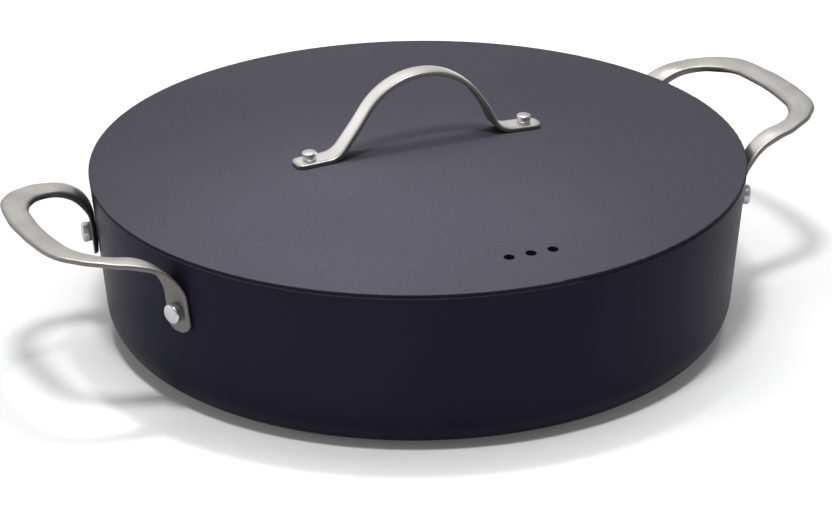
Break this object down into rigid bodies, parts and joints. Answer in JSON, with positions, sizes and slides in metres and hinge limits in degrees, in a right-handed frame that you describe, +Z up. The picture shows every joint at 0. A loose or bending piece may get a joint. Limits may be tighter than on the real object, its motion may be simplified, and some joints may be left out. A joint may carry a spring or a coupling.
{
  "type": "braiser",
  "caption": "Wide low anodised pan with two riveted loop side handles and a loose domed lid with a riveted strap handle.",
  "frame": {"origin": "centre of the flat base, on the surface that the pan stands on", "axes": "+Z up, +X along the line through the two side handles, -Y towards the vent holes of the lid"},
  "size_m": [0.395, 0.305, 0.1245],
  "materials": {
    "anodised_pan": "dark grey hard anodised, satin",
    "anodised_lid": "dark grey hard anodised, matt",
    "handle_steel": "brushed stainless",
    "rivet_metal": "bright bead-blasted aluminium"
  },
  "bodies": {
    "pan": {"pan_body": "anodised_pan", "side_handle_left": "handle_steel", "side_handle_right": "handle_steel", "side_rivet_left_back": "rivet_metal", "side_rivet_left_front": "rivet_metal", "side_rivet_right_back": "rivet_metal", "side_rivet_right_front": "rivet_metal"},
    "lid": {"lid": "anodised_lid", "lid_handle": "handle_steel", "lid_rivet_left": "rivet_metal", "lid_rivet_right": "rivet_metal"}
  },
  "joints": [
    {"name": "lid_lift", "type": "slide", "parent": "pan", "child": "lid", "axis": [0, 0, 1], "range_m": [0, 0.15]}
  ]
}
